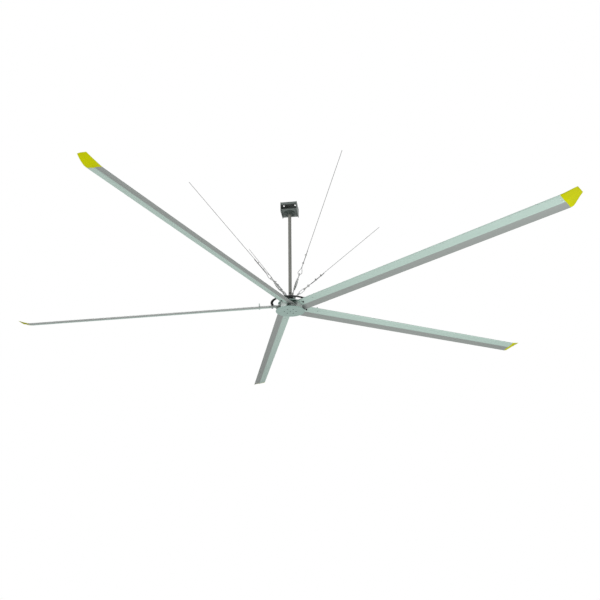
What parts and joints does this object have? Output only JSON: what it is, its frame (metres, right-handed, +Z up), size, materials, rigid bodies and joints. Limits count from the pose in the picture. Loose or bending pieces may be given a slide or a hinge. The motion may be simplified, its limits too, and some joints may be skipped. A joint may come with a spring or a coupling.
{
  "type": "ceiling fan",
  "caption": "Very large ceiling fan: long extruded blades with upswept yellow tips on a direct-drive hub, hung on a drop tube and steadied by guy wires with turnbuckles.",
  "frame": {"origin": "centre of the top face of the mounting bracket", "axes": "+Z up along the drop tube and the fan's axis; +X towards the first blade and the first guy wire at rest"},
  "size_m": [6.6691, 6.9895, 1.5048],
  "materials": {
    "tube_steel": "satin grey paint",
    "bracket_paint": "satin grey-green paint",
    "dark_paint": "dark satin paint",
    "black_paint": "black powder coat",
    "lamination": "bare steel",
    "copper_wire": null,
    "raw_aluminium": "bare cast and milled",
    "anodised_blade": "satin anodised, pale grey-green",
    "winglet_yellow": "moulded, satin",
    "zinc_plate": "zinc plated",
    "wire_rope": "galvanised wire rope"
  },
  "bodies": {
    "mast": {"hanger_top_plate": "bracket_paint", "hanger_side_plate_left": "bracket_paint", "hanger_side_plate_right": "bracket_paint", "hanger_bottom_plate": "bracket_paint", "tube_flange": "dark_paint", "drop_tube": "tube_steel", "tube_bolt_upper": "black_paint", "tube_bolt_lower": "black_paint", "motor_shaft": "black_paint", "motor_stator": "lamination", "stator_windings": "copper_wire", "lower_bearing": "zinc_plate", "upper_bearing": "zinc_plate", "shaft_nut": "zinc_plate", "guy_plate": "zinc_plate"},
    "rotor": {"hub_bottom_disc": "anodised_blade", "hub_top_disc": "anodised_blade", "hub_plug": "dark_paint", "rotor_shell": "raw_aluminium", "rotor_magnets": "lamination", "safety_ring": "black_paint", "blade_strut_1": "raw_aluminium", "blade_1": "anodised_blade", "winglet_1": "winglet_yellow", "blade_strut_2": "raw_aluminium", "blade_2": "anodised_blade", "winglet_2": "winglet_yellow", "blade_strut_3": "raw_aluminium", "blade_3": "anodised_blade", "winglet_3": "winglet_yellow", "blade_strut_4": "raw_aluminium", "blade_4": "anodised_blade", "winglet_4": "winglet_yellow", "blade_strut_5": "raw_aluminium", "blade_5": "anodised_blade", "winglet_5": "winglet_yellow"},
    "jaw_1": {"guy_jaw_1": "zinc_plate"},
    "turnbuckle_1": {"turnbuckle_body_1": "zinc_plate"},
    "guy_1": {"eye_screw_1": "zinc_plate", "rope_clip_lower_1": "zinc_plate", "rope_clip_upper_1": "zinc_plate", "guy_wire_1": "wire_rope"},
    "jaw_2": {"guy_jaw_2": "zinc_plate"},
    "turnbuckle_2": {"turnbuckle_body_2": "zinc_plate"},
    "guy_2": {"eye_screw_2": "zinc_plate", "rope_clip_lower_2": "zinc_plate", "rope_clip_upper_2": "zinc_plate", "guy_wire_2": "wire_rope"},
    "jaw_3": {"guy_jaw_3": "zinc_plate"},
    "turnbuckle_3": {"turnbuckle_body_3": "zinc_plate"},
    "guy_3": {"eye_screw_3": "zinc_plate", "rope_clip_lower_3": "zinc_plate", "rope_clip_upper_3": "zinc_plate", "guy_wire_3": "wire_rope"},
    "jaw_4": {"guy_jaw_4": "zinc_plate"},
    "turnbuckle_4": {"turnbuckle_body_4": "zinc_plate"},
    "guy_4": {"eye_screw_4": "zinc_plate", "rope_clip_lower_4": "zinc_plate", "rope_clip_upper_4": "zinc_plate", "guy_wire_4": "wire_rope"}
  },
  "joints": [
    {"name": "rotor_spin", "type": "hinge", "parent": "mast", "child": "rotor", "pos_m": [0, 0, -1.4415], "axis": [0, 0, 1], "continuous": true},
    {"name": "guy_swing_1", "type": "hinge", "parent": "mast", "child": "jaw_1", "pos_m": [0.0594, 0, -1.3014], "axis": [0, -1, 0], "range_deg": [-15, 15]},
    {"name": "turnbuckle_turn_1", "type": "hinge", "parent": "jaw_1", "child": "turnbuckle_1", "pos_m": [0.1095, 0, -1.25251], "axis": [0.7157, 0, 0.6984], "range_deg": [-2160, 2160]},
    {"name": "guy_take_up_1", "type": "slide", "parent": "jaw_1", "child": "guy_1", "axis": [0.7157, 0, 0.6984], "range_m": [-0.02099, 0.02099]},
    {"name": "guy_swing_2", "type": "hinge", "parent": "mast", "child": "jaw_2", "pos_m": [0, 0.0594, -1.3014], "axis": [1, 0, 0], "range_deg": [-15, 15]},
    {"name": "turnbuckle_turn_2", "type": "hinge", "parent": "jaw_2", "child": "turnbuckle_2", "pos_m": [0, 0.1095, -1.25251], "axis": [0, 0.7157, 0.6984], "range_deg": [-2160, 2160]},
    {"name": "guy_take_up_2", "type": "slide", "parent": "jaw_2", "child": "guy_2", "axis": [0, 0.7157, 0.6984], "range_m": [-0.02099, 0.02099]},
    {"name": "guy_swing_3", "type": "hinge", "parent": "mast", "child": "jaw_3", "pos_m": [-0.0594, 0, -1.3014], "axis": [0, 1, 0], "range_deg": [-15, 15]},
    {"name": "turnbuckle_turn_3", "type": "hinge", "parent": "jaw_3", "child": "turnbuckle_3", "pos_m": [-0.1095, 0, -1.25251], "axis": [-0.7157, 0, 0.6984], "range_deg": [-2160, 2160]},
    {"name": "guy_take_up_3", "type": "slide", "parent": "jaw_3", "child": "guy_3", "axis": [-0.7157, 0, 0.6984], "range_m": [-0.02099, 0.02099]},
    {"name": "guy_swing_4", "type": "hinge", "parent": "mast", "child": "jaw_4", "pos_m": [0, -0.0594, -1.3014], "axis": [-1, 0, 0], "range_deg": [-15, 15]},
    {"name": "turnbuckle_turn_4", "type": "hinge", "parent": "jaw_4", "child": "turnbuckle_4", "pos_m": [0, -0.1095, -1.25251], "axis": [0, -0.7157, 0.6984], "range_deg": [-2160, 2160]},
    {"name": "guy_take_up_4", "type": "slide", "parent": "jaw_4", "child": "guy_4", "axis": [0, -0.7157, 0.6984], "range_m": [-0.02099, 0.02099]}
  ],
  "couplings": [
    {"joint": "turnbuckle_turn_1", "follows": "guy_take_up_1", "rad_per_m": 1795.2},
    {"joint": "turnbuckle_turn_2", "follows": "guy_take_up_2", "rad_per_m": 1795.2},
    {"joint": "turnbuckle_turn_3", "follows": "guy_take_up_3", "rad_per_m": 1795.2},
    {"joint": "turnbuckle_turn_4", "follows": "guy_take_up_4", "rad_per_m": 1795.2}
  ]
}
